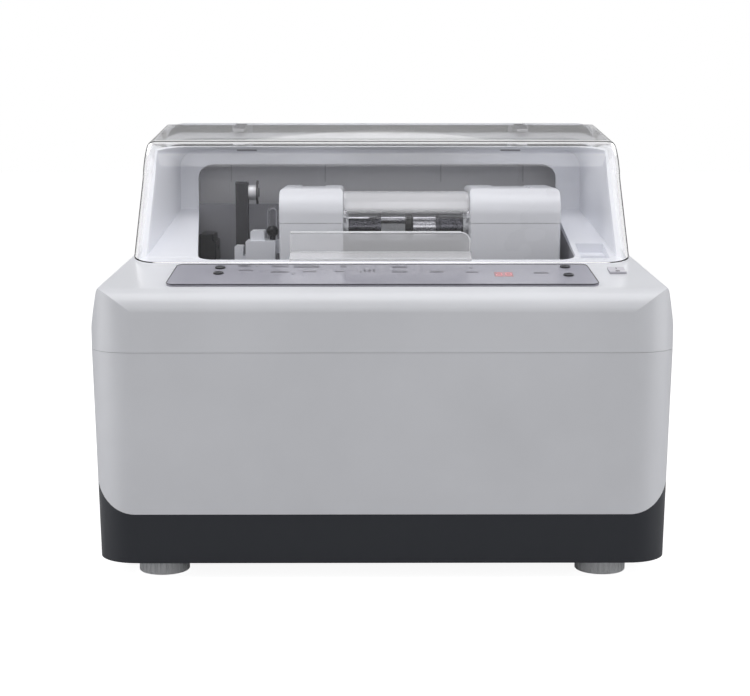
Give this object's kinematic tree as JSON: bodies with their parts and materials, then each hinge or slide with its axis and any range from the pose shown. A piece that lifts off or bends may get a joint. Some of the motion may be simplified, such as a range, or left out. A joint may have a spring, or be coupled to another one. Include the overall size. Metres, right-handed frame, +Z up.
{
  "type": "automatic lens edger",
  "caption": "Bench machine with a hinged clear lid that holds a spectacle lens between turning shafts and grinds its edge on water-fed wheels.",
  "frame": {"origin": "on the table, under the middle of the machine's outline", "axes": "+X to the operator's right, +Y to the rear, +Z up; the control panel faces -Y"},
  "size_m": [0.56, 0.5, 0.435],
  "materials": {
    "white_shell": "satin",
    "dark_base": "satin",
    "clear_cover": "gloss",
    "tub_grey": "matte",
    "panel_face": "gloss",
    "key_black": "satin",
    "display_red": "gloss",
    "fitting_black": "matte",
    "rear_grey": "matte",
    "bare_steel": "satin",
    "chrome_steel": "polished",
    "cast_aluminium": "satin",
    "black_metal": "satin",
    "motor_paint": "satin",
    "plated_steel": "satin",
    "rubber_black": "matte",
    "rubber_grey": "matte",
    "wheel_metal": "matte",
    "brass_gear": "satin",
    "foot_white": "matte"
  },
  "bodies": {
    "machine": {"base_tray": "dark_base", "body_shell": "white_shell", "top_shell": "white_shell", "rear_cover": "white_shell", "chamber_surround": "white_shell", "chamber_tub": "tub_grey", "control_panel": "panel_face", "display": "display_red", "rear_panel": "rear_grey", "power_inlet": "fitting_black", "drain_hose": "rubber_grey", "water_inlet": "brass_gear", "chassis": "plated_steel", "chamber_back": "tub_grey", "spindle_motor": "motor_paint", "drive_belt": "rubber_black", "spindle_housing": "cast_aluminium", "pedestal_left": "cast_aluminium", "pedestal_right": "cast_aluminium", "pivot_shaft": "chrome_steel", "traverse_motor": "motor_paint", "splash_guard": "clear_cover", "lens_probe": "fitting_black"},
    "lid_assembly": {"lid": "clear_cover", "lid_hinge_left": "bare_steel", "lid_hinge_right": "bare_steel"},
    "rocker": {"power_switch": "fitting_black"},
    "motor_rotor": {"motor_pulley": "cast_aluminium"},
    "grinding_spindle": {"spindle": "bare_steel", "rough_wheel": "wheel_metal", "finishing_wheel": "wheel_metal", "wheel_nut": "bare_steel"},
    "screw": {"lead_screw": "bare_steel"},
    "saddle_body": {"saddle": "cast_aluminium"},
    "carriage": {"carriage_frame": "cast_aluminium", "left_arm_cover": "white_shell", "left_arm_skirt": "white_shell", "right_arm_cover": "white_shell", "right_arm_skirt": "white_shell", "lens_motor": "motor_paint", "coolant_nozzle": "white_shell", "nozzle_ball": "fitting_black", "coolant_tube": "clear_cover"},
    "driving_lens_shaft": {"left_lens_shaft": "bare_steel", "lens_chuck": "chrome_steel"},
    "sleeve": {"clamp_sleeve": "bare_steel"},
    "clamp": {"clamp_shaft": "bare_steel", "clamp_pad": "rubber_black"},
    "cross_shaft": {"sync_shaft": "bare_steel"},
    "hood": {"lens_hood": "clear_cover"},
    "grooving_arm": {"groove_arm": "black_metal"},
    "grooving_disc": {"groove_wheel": "chrome_steel"},
    "key_left_front_body": {"key_left_front": "key_black"},
    "key_left_back_body": {"key_left_back": "key_black"},
    "key_right_front_body": {"key_right_front": "key_black"},
    "key_right_back_body": {"key_right_back": "key_black"},
    "foot_front_left_body": {"foot_front_left": "foot_white"},
    "foot_front_right_body": {"foot_front_right": "foot_white"},
    "foot_back_left_body": {"foot_back_left": "foot_white"},
    "foot_back_right_body": {"foot_back_right": "foot_white"}
  },
  "joints": [
    {"name": "lid_swing", "type": "hinge", "parent": "machine", "child": "lid_assembly", "pos_m": [0, 0.086, 0.426], "axis": [-1, 0, 0], "range_deg": [0, 75]},
    {"name": "switch_rock", "type": "hinge", "parent": "machine", "child": "rocker", "pos_m": [0.23, -0.17394, 0.28459], "axis": [1, 0, 0], "range_deg": [-3.5, 3.5]},
    {"name": "spindle_spin", "type": "hinge", "parent": "machine", "child": "grinding_spindle", "pos_m": [0, -0.024, 0.23], "axis": [1, 0, 0], "continuous": true},
    {"name": "motor_spin", "type": "hinge", "parent": "machine", "child": "motor_rotor", "pos_m": [0, 0.085, 0.105], "axis": [1, 0, 0], "continuous": true},
    {"name": "carriage_traverse", "type": "slide", "parent": "machine", "child": "saddle_body", "axis": [1, 0, 0], "range_m": [-0.02, 0.005]},
    {"name": "screw_turn", "type": "hinge", "parent": "machine", "child": "screw", "pos_m": [0, 0.186, 0.286], "axis": [1, 0, 0], "range_deg": [-1810, 460]},
    {"name": "carriage_swing", "type": "hinge", "parent": "saddle_body", "child": "carriage", "pos_m": [0, 0.15, 0.3], "axis": [1, 0, 0], "range_deg": [-4, 6]},
    {"name": "lens_spin", "type": "hinge", "parent": "carriage", "child": "driving_lens_shaft", "pos_m": [0, -0.03, 0.325], "axis": [1, 0, 0], "continuous": true},
    {"name": "cross_spin", "type": "hinge", "parent": "carriage", "child": "cross_shaft", "pos_m": [0, 0.0126, 0.33], "axis": [1, 0, 0], "continuous": true},
    {"name": "sleeve_spin", "type": "hinge", "parent": "carriage", "child": "sleeve", "pos_m": [0, -0.03, 0.325], "axis": [1, 0, 0], "continuous": true},
    {"name": "clamp_slide", "type": "slide", "parent": "sleeve", "child": "clamp", "axis": [-1, 0, 0], "range_m": [0, 0.02]},
    {"name": "hood_swing", "type": "hinge", "parent": "carriage", "child": "hood", "pos_m": [0, -0.03, 0.325], "axis": [-1, 0, 0], "range_deg": [0, 50]},
    {"name": "groove_swing", "type": "hinge", "parent": "machine", "child": "grooving_arm", "pos_m": [0, 0.01, 0.274], "axis": [1, 0, 0], "range_deg": [0, 8]},
    {"name": "groove_spin", "type": "hinge", "parent": "grooving_arm", "child": "grooving_disc", "pos_m": [0, 0.01, 0.36], "axis": [1, 0, 0], "continuous": true},
    {"name": "key_left_front_press", "type": "slide", "parent": "machine", "child": "key_left_front_body", "axis": [0, 0.1771, -0.9842], "range_m": [0, 0.0005], "stiffness_N_per_m": 800},
    {"name": "key_left_back_press", "type": "slide", "parent": "machine", "child": "key_left_back_body", "axis": [0, 0.1771, -0.9842], "range_m": [0, 0.0005], "stiffness_N_per_m": 800},
    {"name": "key_right_front_press", "type": "slide", "parent": "machine", "child": "key_right_front_body", "axis": [0, 0.1771, -0.9842], "range_m": [0, 0.0005], "stiffness_N_per_m": 800},
    {"name": "key_right_back_press", "type": "slide", "parent": "machine", "child": "key_right_back_body", "axis": [0, 0.1771, -0.9842], "range_m": [0, 0.0005], "stiffness_N_per_m": 800},
    {"name": "foot_front_left_turn", "type": "hinge", "parent": "machine", "child": "foot_front_left_body", "pos_m": [-0.214, -0.205, 0], "axis": [0, 0, 1], "continuous": true},
    {"name": "foot_front_right_turn", "type": "hinge", "parent": "machine", "child": "foot_front_right_body", "pos_m": [0.214, -0.205, 0], "axis": [0, 0, 1], "continuous": true},
    {"name": "foot_back_left_turn", "type": "hinge", "parent": "machine", "child": "foot_back_left_body", "pos_m": [-0.214, 0.192, 0], "axis": [0, 0, 1], "continuous": true},
    {"name": "foot_back_right_turn", "type": "hinge", "parent": "machine", "child": "foot_back_right_body", "pos_m": [0.214, 0.192, 0], "axis": [0, 0, 1], "continuous": true}
  ],
  "couplings": [
    {"joint": "motor_spin", "follows": "spindle_spin", "ratio": 0.73333},
    {"joint": "screw_turn", "follows": "carriage_traverse", "rad_per_m": 1570.8},
    {"joint": "cross_spin", "follows": "lens_spin", "ratio": -1},
    {"joint": "sleeve_spin", "follows": "lens_spin", "ratio": 1}
  ]
}
